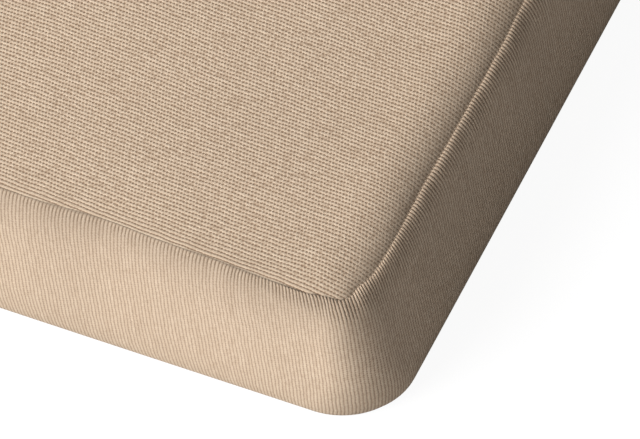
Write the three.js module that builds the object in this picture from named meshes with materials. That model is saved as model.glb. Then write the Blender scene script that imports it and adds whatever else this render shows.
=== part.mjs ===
// A deckchair cushion: a top panel, a boxing strip and a bottom panel sewn into one closed case round
// a filling. It lies on its back, with its middle over the origin. Millimetres, +Z up, +Y along its length.
import * as THREE from "three";
import { mergeVertices } from "three/addons/utils/BufferGeometryUtils.js";

// Overall size at the fullest part of the boxing.
const LENGTH = 1900;
const WIDTH = 500;

// The boxing, seen in section: the height of its two seams along the sides, and how far it swells past them.
const TOP_SEAM_HEIGHT = 53;
const BOTTOM_SEAM_HEIGHT = 1.8;
const BOXING_SWELL = 4.6;

// Corner radii in plan. The top seam turns tightly, and the boxing and the bottom seam are rounder.
const SEAM_CORNER_RADIUS = 7;
const SWELL_CORNER_RADIUS = 17;

// The top panel rolls up from the side seams in an arc. At the ends it runs out flat to the seam, so an end
// seam stands as high as the panel, and comes down to the side seam in a wider arc at each corner.
const ROLL_WIDTH = 12;
const END_ROLL_WIDTH = 20;
const END_ROLL_REACH = 8;
const ROLL_RISE = 4;

// The filling lifts the middle of the top panel. A share of the rise comes soon after the sides, and along
// the ends too. The rest is the crown of the whole panel.
const EDGE_RISE = 2.2;
const EDGE_RISE_REACH = 40;
const CROWN_RISE = 5;
const CROWN_WAVE = 0.8;

// How far the sides draw in between the corners, and the soft unevenness of a filled edge.
const SIDE_DRAW_IN = 3;
const END_DRAW_IN = 1;
const EDGE_WAVE = 0.6;
const EDGE_WAVES = [
  { cyclesRound: 14, share: 0.6, phase: 0.4 },
  { cyclesRound: 22, share: 0.4, phase: 2.1 },
];

// How many steps each stretch of the outline is drawn with.
const CORNER_STEPS = 6;
const SIDE_STEPS = 32;
const END_STEPS = 15;

// The boxing in section, from the top seam to the bottom one. out is a share of the swell, down is the drop
// below the top seam as a share of the boxing's height, and round is how far the corner's radius has grown.
const BOXING_SECTION = [
  { out: 0.14, down: -0.008, round: 0 },
  { out: 0.28, down: 0.012, round: 0.02 },
  { out: 0.47, down: 0.07, round: 0.12 },
  { out: 0.7, down: 0.17, round: 0.4 },
  { out: 0.9, down: 0.3, round: 0.8 },
  { out: 1.0, down: 0.5, round: 1 },
  { out: 0.9, down: 0.7, round: 1 },
  { out: 0.7, down: 0.83, round: 1 },
  { out: 0.47, down: 0.93, round: 1 },
  { out: 0.24, down: 0.985, round: 1 },
];

// Distances in from the seam at which a panel's rings are drawn. The last ring is the panel's middle line.
const PANEL_MIDDLE = WIDTH / 2 - BOXING_SWELL;
const TOP_RINGS = [1.5, 3.5, 6, 9, ROLL_WIDTH, END_ROLL_WIDTH, 32, 50, 80, 130, 185, PANEL_MIDDLE];

// The bottom panel curves down from its seam to a sharp-cornered flat, which the cushion rests on.
const FLAT_INSET = 13;
const BOTTOM_RINGS = [
  { inset: 0, height: BOTTOM_SEAM_HEIGHT },
  { inset: 2, height: 1.2 },
  { inset: 6, height: 0.4 },
  { inset: FLAT_INSET, height: 0 },
  { inset: 60, height: 0 },
  { inset: 130, height: 0 },
  { inset: PANEL_MIDDLE, height: 0 },
];

// Half the width and length of the case along its seams.
const seamHalf = { x: WIDTH / 2 - BOXING_SWELL, y: LENGTH / 2 - BOXING_SWELL };

/** Draws a quarter turn from one direction to the next round a corner, in equal steps. */
function cornerStops(startTurn) {
  const stops = [];
  for (let i = 0; i <= CORNER_STEPS; i += 1) {
    stops.push({ turn: startTurn + (i / CORNER_STEPS) * (Math.PI / 2) });
  }
  return stops;
}

/**
 * Lists the places round the outline, anticlockwise from the right-hand corner of the foot: each corner's
 * turns, and between them the steps along a side or an end. along runs from 0 to 1 over a straight.
 */
function outlinePlaces() {
  const places = [];
  const corners = [
    { signX: 1, signY: -1, startTurn: -Math.PI / 2, straight: SIDE_STEPS },
    { signX: 1, signY: 1, startTurn: 0, straight: END_STEPS },
    { signX: -1, signY: 1, startTurn: Math.PI / 2, straight: SIDE_STEPS },
    { signX: -1, signY: -1, startTurn: Math.PI, straight: END_STEPS },
  ];
  for (const [index, corner] of corners.entries()) {
    for (const { turn } of cornerStops(corner.startTurn)) {
      places.push({ corner, turn, next: corner, along: 0 });
    }
    const next = corners[(index + 1) % corners.length];
    for (let i = 1; i < corner.straight; i += 1) {
      places.push({ corner, turn: next.startTurn, next, along: i / corner.straight });
    }
  }
  return places;
}

const PLACES = outlinePlaces();

/** Gives how far in or out a filled edge wanders at a place. It repeats after half a turn of the outline. */
function edgeWave(index) {
  const round = (index / PLACES.length) * 2 * Math.PI;
  let sum = 0;
  for (const { cyclesRound, share, phase } of EDGE_WAVES) {
    sum += share * Math.sin(cyclesRound * round + phase);
  }
  return EDGE_WAVE * sum;
}

/** Gives how far the edge draws in between two corners, most at the middle of the stretch. */
function drawIn(place) {
  const depth = place.turn % Math.PI === 0 ? SIDE_DRAW_IN : END_DRAW_IN;
  return depth * Math.sin(Math.PI * place.along) ** 2;
}

/**
 * Gives one ring of the cushion in plan, a rounded rectangle, each point with its own distances in from the
 * sides and the ends. out is the distance outside the seam line, and is negative inside it. radius is the
 * ring's corner radius, and waviness is how much of the edge's wave it has.
 */
function ringPlan(out, radius, waviness = 1) {
  const half = { x: Math.max(seamHalf.x + out, 0), y: seamHalf.y + out };
  const inward = Math.min(1, half.x / seamHalf.x);
  const reach = { x: half.x - radius, y: half.y - radius };
  const centre = (corner) => new THREE.Vector2(corner.signX * reach.x, corner.signY * reach.y);
  return PLACES.map((place, index) => {
    const facing = new THREE.Vector2(Math.cos(place.turn), Math.sin(place.turn));
    const point = centre(place.corner).lerp(centre(place.next), place.along).addScaledVector(facing, radius);
    const fromSide = Math.max(seamHalf.x - Math.abs(point.x), 0);
    const fromEnd = Math.max(seamHalf.y - Math.abs(point.y), 0);
    point.addScaledVector(facing, (edgeWave(index) * waviness - drawIn(place)) * inward);
    return { x: point.x, y: point.y, fromSide, fromEnd };
  });
}

/** Gives the height of the top panel at a point. The roll starts at the side seam and ends flat. */
function panelHeight({ x, y, fromSide, fromEnd }) {
  const widening = (END_ROLL_WIDTH - ROLL_WIDTH) * Math.exp(-fromEnd / END_ROLL_REACH);
  const toFlat = Math.max(1 - fromSide / (ROLL_WIDTH + widening), 0);
  const roll = ROLL_RISE * (1 - toFlat ** 2);
  const edge = EDGE_RISE * (1 - Math.exp(-fromSide / EDGE_RISE_REACH));
  const across = Math.sin((Math.PI / 2) * (fromSide / seamHalf.x));
  const along = Math.sin((Math.PI / 2) * Math.min(fromEnd / seamHalf.x, 1));
  const wave = Math.sin(y / 95) * Math.cos(x / 80 + y / 210);
  return TOP_SEAM_HEIGHT + roll + edge + across * along * (CROWN_RISE + CROWN_WAVE * wave);
}

/** Gives the corner radius of a panel's ring: the seam's at the seam, and nothing at the middle line. */
function panelRadius(inset) {
  return SEAM_CORNER_RADIUS * (1 - inset / PANEL_MIDDLE);
}

/** Lists the cushion's rings, from the top panel's middle, over the boxing, to the bottom's middle. */
function cushionRings() {
  const rings = [];
  const seamPlan = ringPlan(0, SEAM_CORNER_RADIUS);
  const seamHeights = seamPlan.map(panelHeight);
  for (const inset of [...TOP_RINGS].reverse()) {
    const plan = ringPlan(-inset, panelRadius(inset));
    rings.push(plan.map((p) => new THREE.Vector3(p.x, p.y, panelHeight(p))));
  }
  rings.push(seamPlan.map((p, index) => new THREE.Vector3(p.x, p.y, seamHeights[index])));
  for (const { out, down, round } of BOXING_SECTION) {
    const radius = THREE.MathUtils.lerp(SEAM_CORNER_RADIUS, SWELL_CORNER_RADIUS, round);
    const plan = ringPlan(out * BOXING_SWELL, radius);
    const height = (index) => THREE.MathUtils.lerp(seamHeights[index], BOTTOM_SEAM_HEIGHT, down);
    rings.push(plan.map((p, index) => new THREE.Vector3(p.x, p.y, height(index))));
  }
  for (const { inset, height } of BOTTOM_RINGS) {
    const share = Math.max(1 - inset / FLAT_INSET, 0);
    const plan = ringPlan(-inset, SWELL_CORNER_RADIUS * share, share);
    rings.push(plan.map((p) => new THREE.Vector3(p.x, p.y, height)));
  }
  return rings;
}

/** Skins the rings with triangles that face outwards. The end rings close on the panels' middle lines. */
function skin(rings) {
  const count = PLACES.length;
  const positions = rings.flat().flatMap((p) => [p.x, p.y, p.z]);
  const index = [];
  for (let ring = 0; ring + 1 < rings.length; ring += 1) {
    for (let i = 0; i < count; i += 1) {
      const next = (i + 1) % count;
      const [a, b] = [ring * count + i, ring * count + next];
      const [c, d] = [a + count, b + count];
      index.push(a, c, b, b, c, d);
    }
  }
  const geometry = new THREE.BufferGeometry();
  geometry.setAttribute("position", new THREE.Float32BufferAttribute(positions, 3));
  geometry.setIndex(index);
  return withoutSlivers(mergeVertices(geometry, 0.01));
}

/** Drops the triangles that close up to nothing on a panel's middle line. */
function withoutSlivers(geometry) {
  const old = geometry.getIndex().array;
  const kept = [];
  for (let i = 0; i < old.length; i += 3) {
    const [a, b, c] = old.slice(i, i + 3);
    if (a !== b && b !== c && c !== a) {
      kept.push(a, b, c);
    }
  }
  geometry.setIndex(kept);
  geometry.computeVertexNormals();
  return geometry;
}

const cloth = new THREE.MeshStandardMaterial({ color: 0xd2b899, roughness: 0.92, metalness: 0 });

const cushion = new THREE.Mesh(skin(cushionRings()), cloth);
cushion.name = "cushion";

const part = new THREE.Group();
part.add(cushion);

export default part;
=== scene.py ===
"""A deckchair cushion, boxed, filled and covered in plain-woven beige cloth, lying on a pale floor.

The case is a top panel, a boxing strip and a bottom panel, sewn together with plain inside seams. It is drawn
as rings round the cushion, with the puckers of its seams, and a light cloth simulation then fills it out.
Metres, with +Z up, and +Y from the foot of the cushion to its head.
"""

import logging
import math
from dataclasses import dataclass
from enum import Enum

import bpy
import numpy as np
from mathutils import Matrix, Vector

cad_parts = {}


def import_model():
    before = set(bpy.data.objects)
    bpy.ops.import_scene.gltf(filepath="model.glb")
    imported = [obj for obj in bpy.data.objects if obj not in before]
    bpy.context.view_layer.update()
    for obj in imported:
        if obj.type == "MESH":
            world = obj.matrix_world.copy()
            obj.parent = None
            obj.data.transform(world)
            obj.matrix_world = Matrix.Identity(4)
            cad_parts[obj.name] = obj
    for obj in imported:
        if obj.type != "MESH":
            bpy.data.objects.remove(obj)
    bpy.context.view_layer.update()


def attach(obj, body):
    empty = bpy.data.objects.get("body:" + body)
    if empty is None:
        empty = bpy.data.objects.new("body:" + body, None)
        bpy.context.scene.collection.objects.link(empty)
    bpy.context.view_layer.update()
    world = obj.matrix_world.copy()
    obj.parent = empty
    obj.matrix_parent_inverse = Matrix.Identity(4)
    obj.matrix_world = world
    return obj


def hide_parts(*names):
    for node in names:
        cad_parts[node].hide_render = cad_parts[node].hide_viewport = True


LOG = logging.getLogger("cushion")
MM = 0.001
HAIR = 0.01 * MM
TINY = 1e-9
PLACE_DECIMALS = 6

Link = bpy.types.NodeSocket
Colour = tuple[float, float, float, float]


class Value:
    """A number that varies over a surface: one output socket, with arithmetic that adds Math nodes."""

    def __init__(self, graph: "Graph", socket: Link) -> None:
        """Wraps a socket of the graph's material."""
        self.graph = graph
        self.socket = socket

    def _math(self, operation: str, *terms: "Value | float") -> "Value":
        """Adds one Math node.

        Args:
            operation: the Math node's operation.
            terms: its inputs in order.

        Returns:
            The node's result.
        """
        return self.graph.node("ShaderNodeMath", {"operation": operation}, dict(enumerate(terms)))

    def __add__(self, other: "Value | float") -> "Value":
        """Adds."""
        return self._math("ADD", self, other)

    __radd__ = __add__

    def __sub__(self, other: "Value | float") -> "Value":
        """Subtracts."""
        return self._math("SUBTRACT", self, other)

    def __rsub__(self, other: float) -> "Value":
        """Subtracts from a number."""
        return self._math("SUBTRACT", other, self)

    def __mul__(self, other: "Value | float") -> "Value":
        """Multiplies."""
        return self._math("MULTIPLY", self, other)

    __rmul__ = __mul__

    def __truediv__(self, other: "Value | float") -> "Value":
        """Divides."""
        return self._math("DIVIDE", self, other)

    def __rtruediv__(self, other: float) -> "Value":
        """Divides a number."""
        return self._math("DIVIDE", other, self)

    def __pow__(self, other: "Value | float") -> "Value":
        """Raises to a power."""
        return self._math("POWER", self, other)

    def floor(self) -> "Value":
        """Rounds down."""
        return self._math("FLOOR", self)

    def fraction(self) -> "Value":
        """Keeps the part after the point."""
        return self._math("FRACT", self)

    def cosine(self) -> "Value":
        """Takes the cosine of an angle in radians."""
        return self._math("COSINE", self)

    def between(self, low: float, high: float, start: float = 0.0, end: float = 1.0) -> "Value":
        """Ramps smoothly from one value to another.

        Args:
            low: where the ramp starts.
            high: where it ends.
            start: the result below the ramp.
            end: the result above it.

        Returns:
            The ramped value.
        """
        settings = {"interpolation_type": "SMOOTHSTEP", "clamp": True}
        inputs = {"Value": self, "From Min": low, "From Max": high, "To Min": start, "To Max": end}
        return self.graph.node("ShaderNodeMapRange", settings, inputs)


class Graph:
    """The node tree of one material, and the ways that nodes are added to it."""

    def __init__(self, name: str) -> None:
        """Starts a material with an empty tree.

        Args:
            name: the material's name.
        """
        self.material = bpy.data.materials.new(name)
        self.material.use_nodes = True
        self.tree = self.material.node_tree
        self.tree.nodes.clear()

    def raw(self, kind: str, settings: dict[str, object], inputs: dict[str | int, object]) -> bpy.types.Node:
        """Adds a node.

        Args:
            kind: the node's type.
            settings: its properties, set before its sockets.
            inputs: what goes into its sockets, by name or number: a value, a Value or a socket.

        Returns:
            The node.
        """
        made = self.tree.nodes.new(kind)
        for key, value in settings.items():
            setattr(made, key, value)
        for key, value in inputs.items():
            source = value.socket if isinstance(value, Value) else value
            if isinstance(source, bpy.types.NodeSocket):
                self.tree.links.new(source, made.inputs[key])
            else:
                made.inputs[key].default_value = source
        return made

    def node(
        self, kind: str, settings: dict[str, object], inputs: dict[str | int, object], output: str | int = 0
    ) -> Value:
        """Adds a node and gives one of its outputs. The arguments are as for raw, and the output's name."""
        return Value(self, self.raw(kind, settings, inputs).outputs[output])

    def noise(self, where: Link | Value, scale: float, detail: float = 1.0) -> Value:
        """Adds smooth noise from 0 to 1 over a position.

        Args:
            where: the position.
            scale: how many lumps there are to a metre.
            detail: how many finer layers are added.

        Returns:
            The noise.
        """
        return self.node("ShaderNodeTexNoise", {}, {"Vector": where, "Scale": scale, "Detail": detail})

    def attribute(self, name: str) -> Value:
        """Reads one of the piece's own attributes."""
        return self.node("ShaderNodeAttribute", {"attribute_name": name}, {}, "Fac")

    def point(self, x: Value | float, y: Value | float, z: Value | float = 0.0) -> Value:
        """Joins three numbers into a position."""
        return self.node("ShaderNodeCombineXYZ", {}, {"X": x, "Y": y, "Z": z})

    def blend(self, share: Value, first: Link | Value | Colour, second: Link | Value | Colour) -> Value:
        """Mixes two colours.

        Args:
            share: how much of the second colour shows.
            first: the first colour.
            second: the second colour.

        Returns:
            The mixed colour.
        """
        settings = {"data_type": "RGBA", "clamp_factor": True}
        return self.node("ShaderNodeMix", settings, {0: share, 6: first, 7: second}, 2)

    def finish(self, surface: dict[str, object]) -> bpy.types.Material:
        """Ends the tree in one shader.

        Args:
            surface: what goes into the shader's sockets.

        Returns:
            The material.
        """
        shader = self.raw("ShaderNodeBsdfPrincipled", {}, surface)
        self.raw("ShaderNodeOutputMaterial", {}, {"Surface": shader.outputs["BSDF"]})
        return self.material


def colour(red: float, green: float, blue: float) -> Colour:
    """Gives an opaque colour from its linear parts."""
    return (red, green, blue, 1.0)


@dataclass(frozen=True)
class PlainWeave:
    """The cushion's cloth: thick rows of weft, tied down by finer warp threads in a plain weave.

    row_pitch is the distance from row to row, float_pitch that from float to float along a row, and relief
    the depth of the weave. A scale is a number of lumps to a metre. The drifts are how far the threads wander
    along and across the rows, in mm, one for each of the drift scales. A row is least_round between two
    holes, and hole_round more beside one. thickness is the height of a plain thread, as a share of the
    relief, and the other heights are what its slubs, knots and fuzz add. The tones do so for its paleness.
    """

    row_pitch: float = 0.985 * MM
    float_pitch: float = 0.885 * MM
    relief: float = 0.13 * MM
    thread: Colour = colour(0.545, 0.434, 0.326)
    thread_dark: Colour = colour(0.455, 0.345, 0.247)
    # The gap colour is painted shade: the dark colour in the weave's holes and between its rows stands in for
    # the shadow that falls there.
    gap_shade: Colour = colour(0.22, 0.142, 0.09)
    roughness: float = 0.92
    specular: float = 0.2
    drift_scales: tuple[float, float, float] = (40.0, 170.0, 700.0)
    drift_along: tuple[float, float, float] = (0.8, 0.5, 0.2)
    drift_across: tuple[float, float, float] = (0.8, -0.4, 0.22)
    thread_scale: float = 700.0
    slub_stretch: tuple[float, float] = (0.22, 0.37)
    streak_stretch: tuple[float, float] = (0.04, 0.61)
    knot_scale: float = 1150.0
    fuzz_scale: float = 4200.0
    cloud_scale: float = 22.0
    least_round: float = 0.1
    hole_round: float = 1.5
    thickness: float = 0.58
    slub_height: float = 0.35
    knot_height: float = 0.65
    fuzz_height: float = 0.3
    tone: float = 0.33
    slub_tone: float = 0.15
    streak_tone: float = 0.2
    knot_tone: float = 0.4
    fill_ramp: tuple[float, float] = (0.2, 0.9)
    tone_ramp: tuple[float, float] = (0.25, 0.75)
    cloud_ramp: tuple[float, float, float, float] = (0.3, 0.7, 0.975, 1.02)
    fuzz_shade: float = 0.5

    def drifting(self, start: Value, drifts: list[Value], depths: tuple[float, float, float]) -> Value:
        """Moves a place in the cloth by the drift of its threads, each drift by its own depth in mm."""
        slow, middle, quick = (drift * depth for drift, depth in zip(drifts, depths))
        return start + (slow + middle + quick) * MM

    def along_and_across(self, graph: Graph, place: Link) -> tuple[Value, Value]:
        """Reads where a point lies in the cloth.

        Args:
            graph: the material's tree.
            place: the point's place on the piece.

        Returns:
            The distance along the rows, and the distance across them.
        """
        laid = graph.raw("ShaderNodeUVMap", {"uv_map": "cloth"}, {}).outputs["UV"]
        parts = graph.raw("ShaderNodeSeparateXYZ", {}, {"Vector": laid}).outputs
        drifts = [graph.noise(place, scale) - 0.5 for scale in self.drift_scales]
        along = self.drifting(Value(graph, parts["X"]), drifts, self.drift_along)
        across = self.drifting(Value(graph, parts["Y"]), drifts, self.drift_across)
        return along, across

    def crest(self, along: Value, rows: Value, loose: Value) -> Value:
        """Rounds the rows, and sinks a hole between two of them where a warp thread ties them down.

        Args:
            along: the distance along the rows.
            rows: the distance across them, in rows.
            loose: how far the holes are open.

        Returns:
            The height, from 0 between rows to 1 on top of one.
        """
        beat = (along * (2.0 * math.pi / self.float_pitch)).cosine() * loose
        # The holes lie on the lines between rows, and move on by half a float from one line to the next.
        turn = 1.0 - ((rows + 0.5).floor() * 0.5).fraction() * 4.0
        hole = beat * turn * 0.5 + 0.5
        across_row = ((rows.fraction() - 0.5) * math.pi).cosine()
        return across_row ** (hole * self.hole_round + self.least_round)

    def thread_noise(self, graph: Graph, along: Value, row: Value, stretch: tuple[float, float]) -> Value:
        """Gives each row its own unevenness. stretch is how fast it changes along a row and over the rows."""
        return graph.noise(graph.point(along * stretch[0], row * stretch[1]), self.thread_scale)

    def material(self) -> bpy.types.Material:
        """Builds the cloth's material, laid out by the piece's own map and attributes.

        Returns:
            The material.
        """
        graph = Graph("cover_cloth")
        place = graph.raw("ShaderNodeTexCoord", {}, {}).outputs["Object"]
        along, across = self.along_and_across(graph, place)
        loose = 1.0 - graph.attribute("drawn")
        rows = across / self.row_pitch
        row = rows.floor()
        slub = self.thread_noise(graph, along, row, self.slub_stretch)
        streak = self.thread_noise(graph, along, row, self.streak_stretch)
        knot = (graph.noise(place, self.knot_scale, 0.0) - 0.5) * loose
        fuzz = graph.noise(place, self.fuzz_scale)
        body = slub * self.slub_height + self.thickness + knot * self.knot_height
        height = self.crest(along, rows, loose) * body + fuzz * self.fuzz_height
        # Painted shade: low in the weave, between rows and in the holes, the colour goes to the dark gap
        # colour, less so where close is marked.
        open_gap = (1.0 - height.between(*self.fill_ramp)) * (1.0 - graph.attribute("close"))
        tone = slub * self.slub_tone + streak * self.streak_tone + knot * self.knot_tone + self.tone
        thread = graph.blend(tone.between(*self.tone_ramp), self.thread_dark, self.thread)
        cloth = graph.blend(1.0 - open_gap, self.gap_shade, thread)
        cloud = graph.noise(place, self.cloud_scale, 3.0).between(*self.cloud_ramp)
        # The shade attribute carries painted light, painted shade and a painted highlight. It is multiplied
        # here with the cloth's random clouds and fuzz.
        shade = cloud * (fuzz * self.fuzz_shade + (1.0 - self.fuzz_shade / 2)) * graph.attribute("shade")
        base = graph.node("ShaderNodeVectorMath", {"operation": "SCALE"}, {"Vector": cloth, "Scale": shade})
        deep = {"Height": height * graph.attribute("relief"), "Distance": self.relief, "Strength": 1.0}
        return graph.finish(
            {
                "Base Color": base,
                "Roughness": self.roughness,
                "Normal": graph.raw("ShaderNodeBump", {}, deep).outputs["Normal"],
                "Specular IOR Level": self.specular,
            }
        )


def ease(share: np.ndarray | float) -> np.ndarray | float:
    """Ramps smoothly from 0 to 1 as a share goes from 0 to 1, and holds outside that."""
    clipped = np.clip(share, 0.0, 1.0)
    return clipped * clipped * (3.0 - 2.0 * clipped)


def resample(values: np.ndarray, knots: np.ndarray, wanted: np.ndarray, period: float = 0.0) -> np.ndarray:
    """Reads a smooth curve through samples at other places.

    Args:
        values: the samples, along the first axis.
        knots: where they were taken, rising.
        wanted: where the curve is read.
        period: the length after which the curve repeats, or 0.

    Returns:
        The curve's values.
    """
    if period:
        knots = np.concatenate([knots[-3:] - period, knots, knots[:3] + period])
        values = np.concatenate([values[-3:], values, values[:3]])
    slopes = np.gradient(values, knots, axis=0)
    index = np.clip(np.searchsorted(knots, wanted, side="right") - 1, 0, len(knots) - 2)
    shape = (-1,) + (1,) * (values.ndim - 1)
    width = (knots[index + 1] - knots[index]).reshape(shape)
    t = np.clip((wanted.reshape(shape) - knots[index].reshape(shape)) / width, 0.0, 1.0)
    low, high = values[index], values[index + 1]
    bend_low, bend_high = slopes[index] * width, slopes[index + 1] * width
    return (
        (2 * t**3 - 3 * t**2 + 1) * low
        + (t**3 - 2 * t**2 + t) * bend_low
        + (3 * t**2 - 2 * t**3) * high
        + (t**3 - t**2) * bend_high
    )


def together(points: np.ndarray) -> tuple[np.ndarray, np.ndarray]:
    """Finds the points that share a place, as those on a panel's middle line do.

    Args:
        points: the points, ring by ring.

    Returns:
        The first point at each place, and for each point the number of its place.
    """
    places = np.round(points.reshape(-1, 3), PLACE_DECIMALS) + 0.0
    _, first, number = np.unique(places, axis=0, return_index=True, return_inverse=True)
    return first, number.ravel()


def ring_faces(number: np.ndarray) -> np.ndarray:
    """Lists the four corners of each face between rings, seen from outside.

    Args:
        number: the number of the point at each place of each ring.

    Returns:
        The corners, ring by ring and place by place.
    """
    after = np.roll(number, -1, axis=1)
    return np.stack([number[:-1], number[1:], after[1:], after[:-1]], axis=2)


class Seed(Enum):
    """Which unevenness is drawn, so that each is the same on every run."""

    PUCKER = 4
    FINE_PUCKER = 5
    WOBBLE = 6
    GATHER = 7


@dataclass
class Outline:
    """The cushion's outline at its seams: a rounded rectangle, whose places stand closer near its corners.

    The places run anticlockwise from the left-hand corner of the head, so the ends of the boxing's pattern
    meet there. The radii are a corner's at the top seam, at the fullest place and at the foot. tuck is how
    far the seam is pulled in at its corners, and anchor how far from them the boxing's rows start to be
    upright. waves are how the seam wanders: how many there are round it, their depth, and their phase at the
    near corner.
    """

    half_width: float
    half_length: float
    swell: float
    fine_step: float = 1.5 * MM
    coarse_step: float = 4.5 * MM
    fine_reach: float = 115 * MM
    ease_reach: float = 160 * MM
    corner_steps: int = 20
    seam_radius: float = 6 * MM
    swell_radius: float = 8.5 * MM
    foot_radius: float = 15.6 * MM
    tuck: float = 1.6 * MM
    tuck_reach: float = 4 * MM
    side_draw_in: float = 2.8 * MM
    end_draw_in: float = 1 * MM
    anchor: float = 24 * MM
    waves: tuple[tuple[int, float, float], ...] = (
        (17, 0.29 * MM, 0.7),
        (31, 0.11 * MM, -2.61),
        (52, 0.31 * MM, -1.71),
        (77, 0.25 * MM, -3.08),
        (118, 0.07 * MM, -1.34),
        (170, 0.11 * MM, -0.04),
    )

    def __post_init__(self) -> None:
        """Works out the places round the outline, and how its edge draws in and wanders there."""
        table = np.array(self._places())
        self.count = len(table)
        self.corner = table[:, 0:2]
        self.next_corner = table[:, 2:4]
        self.facing = np.stack([np.cos(table[:, 4]), np.sin(table[:, 4])], axis=1)
        self.along = table[:, 5]
        self.sideways = self.facing[:, 0] ** 2
        straight = 2 * (np.where(self.sideways > 0.5, self.half_length, self.half_width) - self.seam_radius)
        self.from_corner = np.minimum(self.along, 1.0 - self.along) * straight
        depth = self.side_draw_in * self.sideways + self.end_draw_in * (1.0 - self.sideways)
        self.draw_in = depth * np.sin(math.pi * self.along) ** 2
        self.tucks = self.tuck * np.exp(-((self.from_corner / self.tuck_reach) ** 2))
        self.wave = np.zeros(self.count)
        self.fullest = self.plan(0.0, 1.0, self.swell, 0.0)
        self.run = self._lengths(self.fullest)
        self.length = self._lengths(self.fullest, closed=True)
        near = self.run[np.argmax(self.fullest[:, 0] - self.fullest[:, 1])]
        for cycles, depth, phase in self.waves:
            self.wave += depth * np.cos(2 * math.pi * cycles * (self.run - near) / self.length - phase)

    def _places(self) -> list[tuple[float, ...]]:
        """Lists the places round the outline: each corner's turn in equal steps, and the straight after it.

        Returns:
            For each place the signs of its corner, those of the corner that it runs to, the angle that it
            faces, and how far on it lies between the two.
        """
        signs = [(-1, 1), (-1, -1), (1, -1), (1, 1)]
        places = []
        for index, sign in enumerate(signs):
            start = math.pi / 2 * (index + 1)
            for step in range(self.corner_steps + 1):
                places.append((*sign, *sign, start + step / self.corner_steps * math.pi / 2, 0.0))
            following = signs[(index + 1) % 4]
            half = self.half_length if index % 2 == 0 else self.half_width
            for share in self._straight_shares(2 * (half - self.seam_radius)):
                places.append((*sign, *following, start + math.pi / 2, share))
        return places

    def _straight_shares(self, length: float) -> np.ndarray:
        """Divides a straight, finely near its ends.

        Args:
            length: the straight's length.

        Returns:
            The inner places, as shares of the length.
        """
        places = [0.0]
        while places[-1] < length / 2:
            beyond = min(max((places[-1] - self.fine_reach) / self.ease_reach, 0.0), 1.0)
            places.append(places[-1] + self.fine_step + (self.coarse_step - self.fine_step) * beyond)
        half = np.array(places) / places[-1] / 2
        return np.concatenate([half[1:], 1.0 - half[1:-1][::-1]])

    @staticmethod
    def _lengths(plan: np.ndarray, closed: bool = False) -> np.ndarray | float:
        """Measures along a ring: each place's distance from the first, or the whole ring if closed is set."""
        steps = np.linalg.norm(np.roll(plan, -1, axis=0) - plan, axis=1)
        return float(steps.sum()) if closed else np.concatenate([[0.0], np.cumsum(steps)[:-1]])

    def plan(
        self,
        out: float,
        rounding: float,
        wander: np.ndarray | float = 0.0,
        tucked: float = 1.0,
        drawn: bool = True,
    ) -> np.ndarray:
        """Draws one ring from above.

        Args:
            out: how far it lies outside the seam line.
            rounding: how far its corners have opened, from 0 at the top seam to 1 where the boxing is fullest
                and 2 at the foot.
            wander: how far each of its points is moved outwards on top of that.
            tucked: what share of the seam's tuck at the corners it has.
            drawn: whether the edges draw in and wander between the corners.

        Returns:
            The ring's points, one row for each place.
        """
        radii = (self.seam_radius, self.swell_radius, self.foot_radius)
        radius = float(np.interp(rounding, (0, 1, 2), radii))
        if out < 0.0:
            radius *= 1.0 + out / self.half_width
        reach = np.array([self.half_width + out - radius, self.half_length + out - radius])
        inward = min(1.0, (self.half_width + out) / self.half_width)
        share = self.along[:, None]
        centre = self.corner * reach * (1.0 - share) + self.next_corner * reach * share
        shift = wander + self.wave * (1.0 - rounding / 2) - self.draw_in
        moved = radius + shift * inward * drawn - self.tucks * tucked
        return centre + self.facing * np.broadcast_to(moved, (self.count,))[:, None]

    def noise(self, seed: Seed, spacing: float) -> np.ndarray:
        """Gives a smooth uneven value at each place, which mostly lies between -1 and 1.

        Args:
            seed: which unevenness it is.
            spacing: how far its lumps are apart.

        Returns:
            The values.
        """
        count = round(self.length / spacing)
        knots = np.arange(count) * self.length / count
        lumps = np.random.default_rng(seed.value).uniform(-1.0, 1.0, count)
        return resample(lumps, knots, self.run, self.length)

    def cloth_run(self, plan: np.ndarray) -> np.ndarray:
        """Gives each point's place along the boxing's cloth, whose rows stand upright away from the corners.

        Args:
            plan: a ring's points.

        Returns:
            The places, with one more for the ring's closing.
        """
        own = self._lengths(plan)
        whole = self._lengths(plan, closed=True)
        tangent = np.stack([-self.facing[:, 1], self.facing[:, 0]], axis=1)
        upright = self.run + ((plan - self.fullest) * tangent).sum(axis=1)
        known = self.from_corner > self.anchor
        marks = np.concatenate([[0.0], own[known], [whole]])
        places = np.concatenate([[0.0], upright[known], [self.length]])
        return np.interp(np.append(own, whole), marks, places)

    def from_side(self, plan: np.ndarray) -> np.ndarray:
        """Gives how far points lie in from the nearer side seam, and 0 outside it."""
        return np.clip(self.half_width - np.abs(plan[..., 0]), 0.0, None)

    def from_end(self, plan: np.ndarray) -> np.ndarray:
        """Gives how far points lie in from the nearer end seam, and 0 outside it."""
        return np.clip(self.half_length - np.abs(plan[..., 1]), 0.0, None)


class Stretch(Enum):
    """A stretch of the case's cloth."""

    TOP = "top panel"
    BOXING = "boxing strip"
    BOTTOM = "bottom panel"


@dataclass(frozen=True)
class Row:
    """One ring of the case.

    girth is its place along the cloth of a section, from the top seam. out is how far a panel's ring lies
    outside the seam line, and is negative inside it. side and end are how far out a ring of the boxing is and
    how far down, as a share of the boxing's height, along the sides and at the ends. rounding is how far the
    ring's corners have opened from the seam's tight turn, and held says that the filling can't move it.
    """

    stretch: Stretch
    girth: float
    out: float = 0.0
    side: tuple[float, float] = (0.0, 0.0)
    end: tuple[float, float] = (0.0, 0.0)
    rounding: float = 0.0
    held: bool = False


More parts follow.
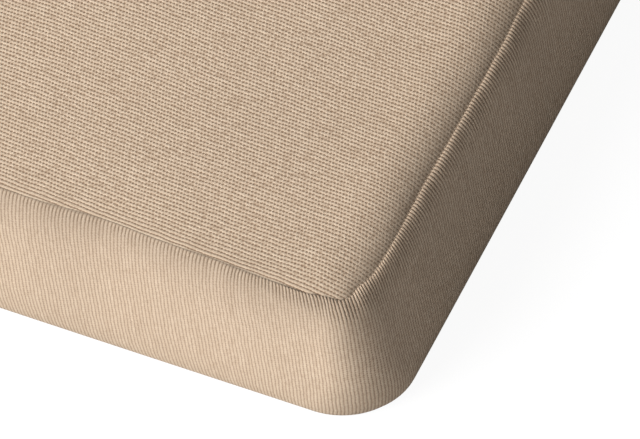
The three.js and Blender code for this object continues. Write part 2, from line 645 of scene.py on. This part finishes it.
@dataclass(frozen=True)
class Section:
    """The boxing seen in section: its cloth's tilts in degrees, at girths in mm down from the top seam.

    A tilt of 0 is level and outwards, 90 straight down, and 180 level and inwards. The last part of the cloth
    is eased in to meet the bottom seam, and the larger closing is, the shorter that part.
    """

    girths: tuple[float, ...]
    tilts: tuple[float, ...]
    closing: float = 0.6
    steps: int = 2000

    def trace(self, girths: np.ndarray, swell: float) -> np.ndarray:
        """Follows the cloth down from the top seam, and closes it on the bottom one.

        Args:
            girths: places along the cloth, rising, the last at the bottom seam.
            swell: how far out the fullest place is.

        Returns:
            The distance out and the share of the whole drop at each place.
        """
        places = np.linspace(0.0, girths[-1], self.steps)
        tilt = np.radians(np.interp(places, np.array(self.girths) * MM, self.tilts))
        step = places[1]
        out = np.concatenate([[0.0], np.cumsum(np.cos(tilt[1:]) * step)])
        drop = np.concatenate([[0.0], np.cumsum(np.sin(tilt[1:]) * step)])
        out -= out[-1] * ease(places / places[-1] * (1.0 + self.closing) - self.closing)
        out *= swell / out.max()
        traced = (np.interp(girths, places, out), np.interp(girths, places, drop / drop[-1]))
        return np.stack(traced, axis=1)


@dataclass(frozen=True)
class TopPanel:
    """The top panel: it rolls up in an arc from its seam, and the filling lifts its middle.

    insets are its rings' distances in from the seam, in mm. The arc is roll_width wide along the sides, and
    widens to end_roll_width at the ends. The cloth is stretched along the cushion, its warp is skewed, and
    its rows bow by row_skew between the sides and the middle.
    """

    insets: tuple[float, ...] = tuple(
        [205, 165, 125, 90, 64, 46, 33, 24, 18, 14, 11, 8.8, 7, 5.5, 4.2, 3.1, 2.2, 1.5, 0.95, 0.55, 0.25]
    )
    seam_height: float = 50.3 * MM
    roll_width: float = 12 * MM
    end_roll_width: float = 28 * MM
    end_roll_reach: float = 8 * MM
    roll_rise: float = 3.7 * MM
    tight_rise: float = 0.6 * MM
    tight_reach: float = 1.3 * MM
    edge_rise: float = 2.5 * MM
    edge_rise_reach: float = 49 * MM
    crown_rise: float = 0.8 * MM
    stretch: float = 1.045
    warp_skew: float = 0.057
    row_skew: float = 0.065
    skew_start: float = 45 * MM
    roll_steps: int = 60
    bow_steps: int = 200

    def rows(self, middle: float) -> list[Row]:
        """Lists the panel's rings from its middle line, which is that far in, to just inside the seam."""
        insets = [middle] + [inset * MM for inset in self.insets]
        return [Row(Stretch.TOP, -inset, -inset) for inset in insets]

    def heights(self, outline: Outline, plan: np.ndarray) -> np.ndarray:
        """Gives the panel's height over points.

        Args:
            outline: the cushion's outline.
            plan: the points seen from above, as if the sides didn't draw in.

        Returns:
            The heights.
        """
        from_side, from_end = outline.from_side(plan), outline.from_end(plan)
        widening = (self.end_roll_width - self.roll_width) * np.exp(-from_end / self.end_roll_reach)
        roll = 1.0 - np.clip(1.0 - from_side / (self.roll_width + widening), 0.0, None) ** 2
        tight = self.tight_rise * (1.0 - np.exp(-from_side / self.tight_reach))
        edge = 1.0 - np.exp(-from_side / self.edge_rise_reach)
        across = np.sin(math.pi / 2 * from_side / outline.half_width)
        along = np.sin(math.pi / 2 * np.clip(from_end / outline.half_width, 0.0, 1.0))
        crown = self.crown_rise * across * along
        return self.seam_height + self.roll_rise * roll + tight + self.edge_rise * edge + crown

    def cloth(self, outline: Outline, plan: np.ndarray) -> np.ndarray:
        """Gives where points of a panel lie in its flat cloth, which is longer than the plan on the roll.

        Args:
            outline: the cushion's outline.
            plan: the points seen from above.

        Returns:
            Their places in the cloth.
        """
        inset = np.linspace(0.0, self.roll_width, self.roll_steps)
        slope = 2 * self.roll_rise / self.roll_width * (1 - inset / self.roll_width)
        longer = np.cumsum((np.sqrt(1 + slope**2) - 1)[::-1])[::-1] * inset[1]
        from_side = outline.half_width - np.abs(plan[:, 0])
        reach = np.linspace(0.0, outline.half_width, self.bow_steps)
        skew = (1 - np.exp(-((reach / self.skew_start) ** 2))) * np.cos(math.pi / 2 * reach / reach[-1])
        bow = self.row_skew * reach[1] * np.cumsum(skew)
        cloth = plan.copy()
        cloth[:, 0] += np.sign(plan[:, 0]) * np.interp(from_side, inset, longer, right=0.0)
        cloth[:, 1] = cloth[:, 1] / self.stretch - np.interp(from_side, reach, bow)
        cloth[:, 0] -= self.warp_skew * cloth[:, 1]
        return cloth


@dataclass(frozen=True)
class Boxing:
    """The boxing strip: its section along the sides and at the ends, which the corners blend.

    upper_girths and lower_girths are its rings' places down its cloth, in mm, from the top seam to the bottom
    one. Its corners open to their fullest over the first part of the drop, whose share is opening, and on to
    the foot's radius past the share foot_opening. rib_lean is how far its rows lean.
    """

    swell: float = 4.8 * MM
    end_swell: float = 4.1 * MM
    upper_girths: tuple[float, ...] = (0, 0.15, 0.35, 0.6, 0.85, 1.1, 1.4, 1.8, 2.3, 2.9, 3.6, 4.5, 5.6, 7, 9)
    lower_girths: tuple[float, ...] = (12, 16, 21, 27, 33, 39, 44, 47.5, 50, 52, 54, 56.5)
    side: Section = Section(
        girths=(0, 0.5, 0.95, 1.4, 2, 2.8, 3.7, 5, 7, 10, 15, 25, 35, 41.6, 45.9, 48.5, 50.6, 52.6, 56.5),
        tilts=(2, 5, 10, 17, 27, 38, 49, 59, 69.5, 80.5, 86.5, 89.5, 93, 98, 107, 122, 145, 165, 176),
    )
    end: Section = Section(
        girths=(0, 0.35, 0.7, 1.1, 1.8, 3, 4.5, 6.5, 9, 12, 17, 26, 37, 44.5, 49.2, 52, 54.2, 55.8, 56.5),
        tilts=(-12, 0, 12, 22, 35, 49, 61, 71, 78.5, 83, 86.5, 89.5, 93, 98, 107, 122, 145, 165, 176),
    )
    opening: float = 0.35
    foot_opening: float = 0.55
    rib_lean: float = 0.038

    def rows(self) -> list[Row]:
        """Lists the boxing's rings, from the top seam to the bottom one.

        Returns:
            The rings, the seams among them.
        """
        girths = np.array(self.upper_girths + self.lower_girths) * MM
        side = self.side.trace(girths, self.swell)
        end = self.end.trace(girths, self.end_swell)
        rows = []
        for girth, at_side, at_end in zip(girths, side, end):
            drop = float(at_side[1])
            opened = ease(drop / self.opening)
            opened += ease((drop - self.foot_opening) / (1.0 - self.foot_opening))
            seam = girth in (girths[0], girths[-1])
            row = Row(Stretch.BOXING, girth, side=at_side, end=at_end, rounding=float(opened), held=seam)
            rows.append(row)
        return rows


@dataclass(frozen=True)
class BottomPanel:
    """The bottom panel: it comes down from its seam to the flat that the cushion rests on.

    insets are its rings' distances in from the seam, in mm.
    """

    insets: tuple[float, ...] = (1.2, 3, 7, 13, 30, 70, 130)
    seam_height: float = 1.8 * MM
    flat_inset: float = 13 * MM

    def rows(self, seam: float, middle: float) -> list[Row]:
        """Lists the panel's rings from just inside its seam, at that girth, to its middle line."""
        insets = [inset * MM for inset in self.insets] + [middle]
        return [Row(Stretch.BOTTOM, seam + inset, -inset, rounding=2.0, held=True) for inset in insets]

    def height(self, out: float) -> float:
        """Gives the height of a ring that lies out of the seam line by a distance, which is negative."""
        return self.seam_height * max(1.0 + out / self.flat_inset, 0.0) ** 2


@dataclass(frozen=True)
class TopSeam:
    """The top seam: the valley that its stitches pull, the boxing's puckers under it, and its wobble.

    end_valley is how deep the valley is at the ends, as a share of its depth at the sides, and below how far
    it reaches on the boxing, as a share of its reach on the panel. A pucker is a fold inwards, which stops at
    fold_stop, or a fainter swelling, which stops at swell_stop.
    """

    valley: float = 0.4 * MM
    valley_reach: float = 0.6 * MM
    end_valley: float = 0.15
    below: float = 0.3
    pucker: float = 0.3 * MM
    pucker_reach: float = 2.2 * MM
    pucker_spacing: float = 5.5 * MM
    fine_pucker: float = 0.25
    fine_pucker_spacing: float = 2.6 * MM
    swell_stop: float = -0.4
    fold_stop: float = 1.2
    wobble: float = 0.18 * MM
    wobble_spacing: float = 9 * MM

    def outward(self, outline: Outline, rows: list[Row]) -> np.ndarray:
        """Gives how far the seam's puckers and wobble move each point outwards.

        Args:
            outline: the cushion's outline.
            rows: the rings.

        Returns:
            The distances, ring by ring.
        """
        uneven = outline.noise(Seed.PUCKER, self.pucker_spacing)
        uneven = uneven + self.fine_pucker * outline.noise(Seed.FINE_PUCKER, self.fine_pucker_spacing)
        puckers = np.clip(uneven, self.swell_stop, self.fold_stop)
        wobble = self.wobble * outline.noise(Seed.WOBBLE, self.wobble_spacing)
        moved = []
        for row in rows:
            reach = row.girth / self.pucker_reach
            fold = self.pucker * reach * math.exp(1.0 - reach) if row.stretch is Stretch.BOXING else 0.0
            moved.append(wobble * math.exp(-abs(reach)) - fold * puckers)
        return np.array(moved)

    def sunk(self, outline: Outline, row: Row) -> np.ndarray:
        """Gives how far the valley sinks each point of a ring.

        Args:
            outline: the cushion's outline.
            row: the ring.

        Returns:
            The depths.
        """
        share = self.end_valley + (1.0 - self.end_valley) * outline.sideways
        reach = self.valley_reach * (1.0 if row.stretch is Stretch.TOP else self.below)
        return self.valley * share * math.exp(-abs(row.girth) / reach)


@dataclass(frozen=True)
class Filling:
    """The filling, which presses the case out: a cloth simulation of a coarse blank, sewn down at its seams.

    spacing is how far apart the blank's points are along a seam, and limit how far a point may move.
    """

    spacing: float = 12 * MM
    pressure: float = 0.06
    stretch_stiffness: float = 25.0
    shear_stiffness: float = 15.0
    bending_stiffness: float = 2.0
    quality: int = 6
    frames: int = 20
    limit: float = 8 * MM

    def press(self, points: np.ndarray, girths: np.ndarray, run: np.ndarray, held: np.ndarray) -> np.ndarray:
        """Presses the case out.

        Args:
            points: the case's points, ring by ring.
            girths: each ring's place along the cloth of a section, rising.
            run: each place's distance round the case.
            held: which rings stay still.

        Returns:
            The case's points, moved.
        """
        rings = self.thinned(girths, held)
        places = np.flatnonzero(np.diff(np.floor(run / self.spacing), prepend=-1.0) > 0)
        still = np.repeat(held[rings][:, None], len(places), axis=1)
        moved = self.simulate(points[np.ix_(rings, places)], still)
        length = np.linalg.norm(moved, axis=2, keepdims=True)
        moved *= np.minimum(self.limit / np.maximum(length, TINY), 1.0)
        ring = points[len(points) // 2]
        whole = run[-1] + float(np.linalg.norm(ring[0] - ring[-1]))
        along = resample(np.swapaxes(moved, 0, 1), run[places], run, whole)
        # A ring beyond each panel's middle line, like the one before it, keeps the case level over the line.
        mirrored = np.swapaxes(along, 0, 1)[[1, *range(len(rings)), -2]]
        knots = girths[rings]
        knots = np.concatenate([[2 * knots[0] - knots[1]], knots, [2 * knots[-1] - knots[-2]]])
        return self.moved_together(points, resample(mirrored, knots, girths))

    @staticmethod
    def moved_together(points: np.ndarray, moved: np.ndarray) -> np.ndarray:
        """Moves points, and keeps those together that share a place.

        Args:
            points: the points.
            moved: how far each of them moves.

        Returns:
            The moved points.
        """
        number = together(points)[1]
        sums = np.stack([np.bincount(number, moved[..., axis].ravel()) for axis in range(3)], axis=1)
        mean = sums / np.bincount(number)[:, None]
        return points + mean[number].reshape(points.shape)

    def thinned(self, girths: np.ndarray, held: np.ndarray) -> np.ndarray:
        """Picks the blank's rings: those at the seams, and others no closer than a third of its spacing.

        Args:
            girths: each ring's place along the cloth of a section.
            held: which rings stay still.

        Returns:
            The rings' numbers.
        """
        picked = [0]
        for index in range(1, len(girths)):
            apart = girths[index] - girths[picked[-1]]
            if apart > self.spacing / 3 or (held[index] and not held[index - 1]) or index == len(girths) - 1:
                picked.append(index)
        return np.array(picked)

    def simulate(self, blank: np.ndarray, still: np.ndarray) -> np.ndarray:
        """Runs the cloth simulation on a coarse blank.

        Args:
            blank: the blank's points, ring by ring.
            still: which of them stay still.

        Returns:
            How far each point moves.
        """
        first, number = together(blank)
        start = blank.reshape(-1, 3)[first]
        cut = self.cut(start, number.reshape(still.shape))
        sewn = cut.vertex_groups.new(name="sewn")
        sewn.add(np.flatnonzero(still.ravel()[first]).tolist(), 1.0, "REPLACE")
        self.fill(cut, sewn.name)
        for frame in range(1, self.frames + 1):
            bpy.context.scene.frame_set(frame)
        pressed = cut.evaluated_get(bpy.context.evaluated_depsgraph_get()).to_mesh()
        ended = np.zeros(start.size)
        pressed.vertices.foreach_get("co", ended)
        bpy.data.objects.remove(cut)
        bpy.context.scene.frame_set(1)
        moved = (ended.reshape(-1, 3) - start)[number]
        LOG.info("filling: %d points, moved up to %.1f mm", len(start), np.abs(moved).max() / MM)
        return moved.reshape(blank.shape)

    @staticmethod
    def cut(points: np.ndarray, number: np.ndarray) -> bpy.types.Object:
        """Cuts the blank.

        Args:
            points: its points, each of them once.
            number: which of them stands at each place of each ring.

        Returns:
            The blank's object.
        """
        faces = []
        for quad in ring_faces(number).reshape(-1, 4).tolist():
            corners = list(dict.fromkeys(quad))
            if len(corners) > 2:
                faces.append(corners)
        mesh = bpy.data.meshes.new("blank")
        mesh.from_pydata(points.tolist(), [], faces)
        mesh.update()
        blank = bpy.data.objects.new("blank", mesh)
        bpy.context.collection.objects.link(blank)
        return blank

    def fill(self, blank: bpy.types.Object, sewn: str) -> None:
        """Makes the blank cloth, with the filling's pressure inside it.

        Args:
            blank: the blank.
            sewn: the name of its group of points that stay still.
        """
        cloth = blank.modifiers.new("filling", "CLOTH")
        cloth.settings.vertex_group_mass = sewn
        cloth.settings.use_pressure = True
        cloth.settings.uniform_pressure_force = self.pressure
        cloth.settings.effector_weights.gravity = 0.0
        cloth.settings.tension_stiffness = self.stretch_stiffness
        cloth.settings.compression_stiffness = self.stretch_stiffness
        cloth.settings.shear_stiffness = self.shear_stiffness
        cloth.settings.bending_stiffness = self.bending_stiffness
        cloth.settings.quality = self.quality
        cloth.point_cache.frame_start = 1
        cloth.point_cache.frame_end = self.frames


@dataclass(frozen=True)
class Whereabouts:
    """Where the points of the case lie.

    girth, top and boxing are columns with one number for each ring, and the last two are 1 on that stretch
    and 0 elsewhere. from_side and from_end are each point's distances in from the seams.
    """

    girth: np.ndarray
    top: np.ndarray
    boxing: np.ndarray
    from_side: np.ndarray
    from_end: np.ndarray


@dataclass(frozen=True)
class Drape:
    """How the cloth lies: gathered under the top seam, slack on the boxing, flat over the panel's roll.

    A gather is side_pull times as deep as the weave along the sides and end_pull times at the ends, and slack
    is the depth of the weave on the boxing. Gathers run gather_depth down the boxing, times the sum of their
    spreads: everywhere, near the corners and the sides, and along the sides. A reach is how far a mark runs
    from its seam. The lights and shades are painted highlight and painted shade: how much paler or darker the
    cloth's colour is made there.
    """

    side_pull: float = 1.56
    end_pull: float = 1.95
    slack: float = 0.36
    side_slack: float = 0.5
    gather_depth: float = 6.5 * MM
    gather_reach: float = 28 * MM
    gather_spreads: tuple[float, float, float] = (0.55, 0.45, 0.35)
    gather_unevenness: float = 0.3
    gather_spacing: float = 7 * MM
    gather_start: float = 0.2 * MM
    gather_growth: float = 1.2 * MM
    gather_hold: float = 0.5
    gather_fade: float = 0.6
    end_gather: float = 0.7
    roll_reach: float = 4.5 * MM
    roll_flat: float = 0.45
    # Painted shade: the panel's roll by the side seams is darkened by this share.
    roll_shade: float = 0.28
    roll_close: float = 0.3
    # Painted shade: the whole boxing is darkened by this share against the panels.
    boxing_shade: float = 0.17
    boxing_close: float = 0.3
    side_open: float = 0.15
    lip_reach: float = 2.2 * MM
    # A painted highlight on the boxing's lip along the sides.
    lip_highlight: float = 0.13
    # The fold marks place painted shade in the folds under the end seams.
    fold_reach: float = 8.8 * MM
    fold_fall: float = 1.4
    fold_start: float = 1.2 * MM
    fold_shade: float = 0.36
    end_drawn: float = 0.6
    end_drawn_reach: float = 3 * MM
    boxing_drawn: float = 0.5
    side_loose: float = 0.4
    loose_start: float = 5 * MM
    loose_growth: float = 7 * MM
    seam_drawn_reach: float = 2.5 * MM

    def marks(self, outline: Outline, at: Whereabouts) -> dict[str, np.ndarray]:
        """Marks how the cloth lies at each point.

        relief is how deep its weave is, close is how little of the painted shade in the weave's gaps shows,
        shade is painted light, painted shade and a painted highlight, and drawn is how far its holes are
        closed by its being pulled along.

        Args:
            outline: the cushion's outline.
            at: where the points lie.

        Returns:
            Each mark's name, and its strength at each point.
        """
        sideways = outline.sideways[None, :]
        gather = self.gathered(outline, at)
        rolled = at.top * np.exp(-((at.from_side / self.roll_reach) ** 2))
        boxed = at.boxing * self.slack * (1.0 + self.side_slack * sideways)
        face = boxed + (1 - at.boxing) * (1.0 - self.roll_flat * rolled)
        deepest = self.end_pull - (self.end_pull - self.side_pull) * sideways
        close = at.boxing * (1.0 - gather) * (self.boxing_close - self.side_open * sideways)
        return {
            "relief": face * (1.0 - gather) + gather * deepest,
            "close": close + rolled * self.roll_close,
            # Painted light: painted shade over the boxing, in its end's folds and on the panel's roll, and a
            # painted highlight on its lip.
            "shade": self.shaded(sideways, at) * (1.0 - self.roll_shade * rolled),
            "drawn": self.drawn(sideways, at),
        }

    def gathered(self, outline: Outline, at: Whereabouts) -> np.ndarray:
        """Gives how far the cloth is gathered at each point.

        Args:
            outline: the cushion's outline.
            at: where the points lie.

        Returns:
            The share, from 0 to 1.
        """
        sideways = outline.sideways[None, :]
        corner = np.exp(-((outline.from_corner / self.gather_reach) ** 2))[None, :]
        near = np.maximum(corner, sideways)
        everywhere, by_corner, by_side = self.gather_spreads
        spread = everywhere + by_corner * near + by_side * sideways
        uneven = 1.0 + self.gather_unevenness * outline.noise(Seed.GATHER, self.gather_spacing)
        reach = self.gather_depth * spread * uneven[None, :]
        start = ease((at.girth - self.gather_start) / self.gather_growth) * (1 - near) + near
        fall = 1 - ease((at.girth / reach - self.gather_hold) / self.gather_fade)
        return at.boxing * start * fall * (self.end_gather + (1.0 - self.end_gather) * near)

    def shaded(self, sideways: np.ndarray, at: Whereabouts) -> np.ndarray:
        """Gives the painted light on the boxing: painted shade over it against the panels, a painted
        highlight on its lip, and painted shade in its end's folds.

        Args:
            sideways: how far each place faces the side.
            at: where the points lie.

        Returns:
            The share of the cloth's own colour.
        """
        lip = sideways * np.exp(-((at.girth / self.lip_reach) ** 2)) * at.boxing
        fading = np.exp(-((np.clip(at.girth, 0.0, None) / self.fold_reach) ** self.fold_fall))
        deep = (1.0 - sideways) * fading * (1.0 - np.exp(-at.girth / self.fold_start)) * at.boxing
        # Painted shade over the boxing and in its folds, and a painted highlight on its lip.
        return (1.0 - self.boxing_shade * at.boxing + self.lip_highlight * lip) * (1.0 - self.fold_shade * deep)

    def drawn(self, sideways: np.ndarray, at: Whereabouts) -> np.ndarray:
        """Gives how far the cloth is pulled along: by the end seams, on the boxing, and most below its top.

        Args:
            sideways: how far each place faces the side.
            at: where the points lie.

        Returns:
            The share, from 0 to 1.
        """
        loose = sideways * ease((at.girth - self.loose_start) / self.loose_growth)
        by_end = at.top * self.end_drawn * np.exp(-((at.from_end / self.end_drawn_reach) ** 2))
        boxed = self.boxing_drawn - self.side_loose * loose + np.exp(-at.girth / self.seam_drawn_reach)
        return np.clip(by_end + at.boxing * boxed, 0.0, 1.0)


@dataclass
class Cushion:
    """The whole cushion: its case of panels and boxing, sewn closed round its filling."""

    width: float = 500 * MM
    length: float = 1900 * MM
    top: TopPanel = TopPanel()
    seam: TopSeam = TopSeam()
    boxing: Boxing = Boxing()
    bottom: BottomPanel = BottomPanel()
    filling: Filling = Filling()
    drape: Drape = Drape()

    def __post_init__(self) -> None:
        """Works out the outline from the cushion's overall size."""
        swell, end_swell = self.boxing.swell, self.boxing.end_swell
        self.outline = Outline(self.width / 2 - swell, self.length / 2 - end_swell, swell)

    def rows(self) -> list[Row]:
        """Lists the case's rings, from the middle of the top panel, over the boxing, to the bottom's middle.

        Returns:
            The rings.
        """
        middle = self.outline.half_width
        boxing = self.boxing.rows()
        return self.top.rows(middle) + boxing + self.bottom.rows(boxing[-1].girth, middle)

    def shape(self, rows: list[Row]) -> np.ndarray:
        """Places every point of every ring.

        Args:
            rows: the rings.

        Returns:
            The points, ring by ring.
        """
        outline = self.outline
        sideways = outline.sideways
        seam_heights = self.top.heights(outline, outline.plan(0.0, 0.0, drawn=False))
        outward = self.seam.outward(outline, rows)
        points = np.zeros((len(rows), outline.count, 3))
        for index, row in enumerate(rows):
            out, drop = np.outer(row.side, sideways) + np.outer(row.end, 1.0 - sideways)
            tucked = math.exp(-abs(row.girth) / outline.tuck_reach)
            points[index, :, :2] = outline.plan(row.out, row.rounding, out + outward[index], tucked)
            if row.stretch is Stretch.TOP:
                flat = outline.plan(row.out, row.rounding, tucked=tucked, drawn=False)
                heights = self.top.heights(outline, flat) - self.seam.sunk(outline, row)
            elif row.stretch is Stretch.BOXING:
                heights = seam_heights + drop * (self.bottom.seam_height - seam_heights)
                heights -= self.seam.sunk(outline, row)
            else:
                heights = self.bottom.height(row.out)
            points[index, :, 2] = heights
        return points

    def near_corner(self) -> Vector:
        """Gives the middle of the top seam's turn at the near right corner."""
        seam = self.shape([Row(Stretch.BOXING, 0.0)])[0]
        return Vector(seam[np.argmax(seam[:, 0] - seam[:, 1])])

    def build(self) -> bpy.types.Object:
        """Draws the case's rings, presses them out with the filling, and skins them.

        Returns:
            The finished piece.
        """
        rows = self.rows()
        points = self.shape(rows)
        girths = np.array([row.girth for row in rows])
        held = np.array([row.held for row in rows])
        points = self.filling.press(points, girths, self.outline.run, held)
        return self.skin(rows, points)

    def skin(self, rows: list[Row], points: np.ndarray) -> bpy.types.Object:
        """Skins the rings with faces, with their map and their marks.

        Args:
            rows: the rings.
            points: their points, ring by ring.

        Returns:
            The cushion's object.
        """
        shape = points.shape[:2]
        quads = ring_faces(np.arange(points[..., 0].size).reshape(shape))
        mesh = bpy.data.meshes.new("cushion_case")
        mesh.from_pydata(points.reshape(-1, 3).tolist(), [], quads.reshape(-1, 4).tolist())
        layer = mesh.uv_layers.new(name="cloth")
        layer.uv.foreach_set("vector", self.cloth_map(rows, points).astype(np.float32).ravel())
        for name, values in self.drape.marks(self.outline, self.whereabouts(rows)).items():
            attribute = mesh.attributes.new(name, "FLOAT", "POINT")
            attribute.data.foreach_set("value", np.broadcast_to(values, shape).astype(np.float32).ravel())
        cushion = bpy.data.objects.new("cushion_case", mesh)
        bpy.context.collection.objects.link(cushion)
        self.finish(cushion)
        return cushion

    @staticmethod
    def finish(cushion: bpy.types.Object) -> None:
        """Closes the case on the panels' middle lines, turns its faces outwards and smooths it.

        Args:
            cushion: the cushion's object.
        """
        bpy.ops.object.select_all(action="DESELECT")
        bpy.context.view_layer.objects.active = cushion
        cushion.select_set(True)
        bpy.ops.object.mode_set(mode="EDIT")
        bpy.ops.mesh.select_all(action="SELECT")
        bpy.ops.mesh.remove_doubles(threshold=HAIR)
        bpy.ops.mesh.dissolve_degenerate(threshold=HAIR)
        bpy.ops.mesh.normals_make_consistent(inside=False)
        bpy.ops.object.mode_set(mode="OBJECT")
        bpy.ops.object.shade_smooth()

    def whereabouts(self, rows: list[Row]) -> Whereabouts:
        """Works out where the points of the case lie.

        Args:
            rows: the rings.

        Returns:
            Their places.
        """
        plans = np.stack([self.outline.plan(row.out, row.rounding, drawn=False) for row in rows])
        return Whereabouts(
            girth=np.array([row.girth for row in rows])[:, None],
            top=np.array([row.stretch is Stretch.TOP for row in rows])[:, None] * 1.0,
            boxing=np.array([row.stretch is Stretch.BOXING for row in rows])[:, None] * 1.0,
            from_side=self.outline.from_side(plans),
            from_end=self.outline.from_end(plans),
        )

    def cloth_map(self, rows: list[Row], points: np.ndarray) -> np.ndarray:
        """Lays out the cloth: along its thick rows, then across them, in metres.

        Args:
            rows: the rings.
            points: their points, ring by ring.

        Returns:
            A place in the cloth for each corner of each face.
        """
        uv = np.zeros((len(rows) - 1, self.outline.count, 4, 2))
        for index, (upper, lower) in enumerate(zip(rows, rows[1:])):
            near, far = points[index, :, :2], points[index + 1, :, :2]
            if upper.stretch is Stretch.BOXING and lower.stretch is Stretch.BOXING:
                uv[index, :, :, 0] = [upper.girth, lower.girth, lower.girth, upper.girth]
                high = self.outline.cloth_run(near) + self.boxing.rib_lean * upper.girth
                low = self.outline.cloth_run(far) + self.boxing.rib_lean * lower.girth
                uv[index, :, :, 1] = np.stack([high[:-1], low[:-1], low[1:], high[1:]], axis=1)
            else:
                high, low = (self.top.cloth(self.outline, plan) for plan in (near, far))
                turned = (np.roll(low, -1, axis=0), np.roll(high, -1, axis=0))
                uv[index] = np.stack([high, low, *turned], axis=1)
        return uv

    def dress(self, piece: bpy.types.Object) -> None:
        """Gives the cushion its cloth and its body.

        Args:
            piece: the cushion's object.
        """
        piece.data.materials.append(PlainWeave().material())
        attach(piece, "root")
        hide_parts("cushion")


@dataclass(frozen=True)
class Lamp:
    """One distant light: the direction in which it lies, its strength, and its breadth in degrees."""

    name: str
    towards: tuple[float, float, float]
    strength: float
    angle: float

    def hang(self) -> None:
        """Adds the light to the scene."""
        data = bpy.data.lights.new(self.name, "SUN")
        data.energy = self.strength
        data.angle = math.radians(self.angle)
        lamp = bpy.data.objects.new(self.name, data)
        lamp.rotation_euler = Vector(self.towards).to_track_quat("Z", "Y").to_euler()
        bpy.context.collection.objects.link(lamp)


@dataclass(frozen=True)
class Sheet:
    """One level sheet of floor: its height, its paleness, and how brightly it glows, as a lit table does."""

    name: str
    height: float
    base: float
    glow: float
    size: float = 300.0

    def lay(self) -> bpy.types.Object:
        """Lays the sheet.

        Returns:
            The sheet's object.
        """
        bpy.ops.object.select_all(action="DESELECT")
        bpy.ops.mesh.primitive_plane_add(size=self.size, location=(0, 0, self.height))
        sheet = bpy.context.active_object
        sheet.name = self.name
        surface = {
            "Base Color": colour(self.base, self.base, self.base),
            "Roughness": 1.0,
            "Specular IOR Level": 0.0,
            "Emission Color": colour(1.0, 1.0, 1.0),
            "Emission Strength": self.glow,
        }
        sheet.data.materials.append(Graph(self.name).finish(surface))
        return sheet


@dataclass(frozen=True)
class Studio:
    """The pale floor, the soft light, and the camera, which looks down on the near right corner."""

    azimuth: float = 35.4
    elevation: float = 54.1
    roll: float = -12.25
    lens: float = 710.0
    sensor: float = 36.0
    nearest: float = 0.05
    furthest: float = 1000.0
    picture_width: int = 640
    picture_height: int = 439
    pixels_per_metre: float = 4139.0
    corner_pixel: tuple[float, float] = (343.8, 299.7)
    key: Lamp = Lamp("key_light", (-0.48, -0.665, 0.572), 6.2, 45.0)
    fill: Lamp = Lamp("fill_light", (0.45, -0.85, 0.25), 1.0, 60.0)
    ambient: float = 0.15
    ground: Sheet = Sheet("floor", -0.2 * MM, 0.42, 0.0)
    bright: Sheet = Sheet("floor_sheet", 0.0, 0.1, 0.93)

    def floor(self) -> None:
        """Lays the pale floor: a thin bright sheet, which shows, over a plain one that returns the light."""
        self.ground.lay()
        shown = self.bright.lay()
        shown.visible_diffuse = False
        shown.visible_glossy = False
        shown.visible_shadow = False

    def light(self) -> None:
        """Sets one broad soft light, a fainter one beside the camera, and a faint even one all round."""
        self.key.hang()
        self.fill.hang()
        world = bpy.data.worlds.new("studio")
        world.use_nodes = True
        background = world.node_tree.nodes["Background"]
        background.inputs["Color"].default_value = colour(1.0, 1.0, 1.0)
        background.inputs["Strength"].default_value = self.ambient
        bpy.context.scene.world = world
        bpy.context.scene.view_settings.view_transform = "Standard"

    def axes(self) -> tuple[Vector, Vector, Vector]:
        """Gives the camera's directions.

        Returns:
            Its right, its up and the way that it looks.
        """
        turn, climb, roll = (math.radians(x) for x in (self.azimuth, self.elevation, self.roll))
        level = Vector((math.cos(turn), math.sin(turn), 0.0))
        towards = Vector((-math.sin(turn), math.cos(turn), 0.0))
        ahead = towards * math.cos(climb) - Vector((0.0, 0.0, math.sin(climb)))
        upward = level.cross(ahead)
        right = level * math.cos(roll) + upward * math.sin(roll)
        up = upward * math.cos(roll) - level * math.sin(roll)
        return right, up, ahead

    def camera(self, corner: Vector) -> None:
        """Aims the camera at the seam's near corner, from the photograph's side.

        Args:
            corner: the seam's corner, which shows at corner_pixel.
        """
        right, up, ahead = self.axes()
        distance = self.picture_width / self.pixels_per_metre * self.lens / self.sensor
        across = (self.corner_pixel[0] - self.picture_width / 2) / self.pixels_per_metre
        down = (self.corner_pixel[1] - self.picture_height / 2) / self.pixels_per_metre
        data = bpy.data.cameras.new("camera")
        data.lens = self.lens
        data.sensor_width = self.sensor
        data.clip_start = self.nearest
        data.clip_end = self.furthest
        camera = bpy.data.objects.new("camera", data)
        frame = Matrix((right, up, -ahead)).transposed().to_4x4()
        frame.translation = corner - ahead * distance - right * across + up * down
        camera.matrix_world = frame
        bpy.context.collection.objects.link(camera)
        bpy.context.scene.camera = camera


def main() -> None:
    """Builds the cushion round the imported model, and sets the studio."""
    logging.basicConfig(level=logging.INFO, format="%(message)s")
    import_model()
    cushion = Cushion()
    piece = cushion.build()
    cushion.dress(piece)
    LOG.info("%s: %d faces", piece.name, len(piece.data.polygons))
    studio = Studio()
    studio.floor()
    studio.light()
    studio.camera(cushion.near_corner())


if __name__ == "__main__":
    main()
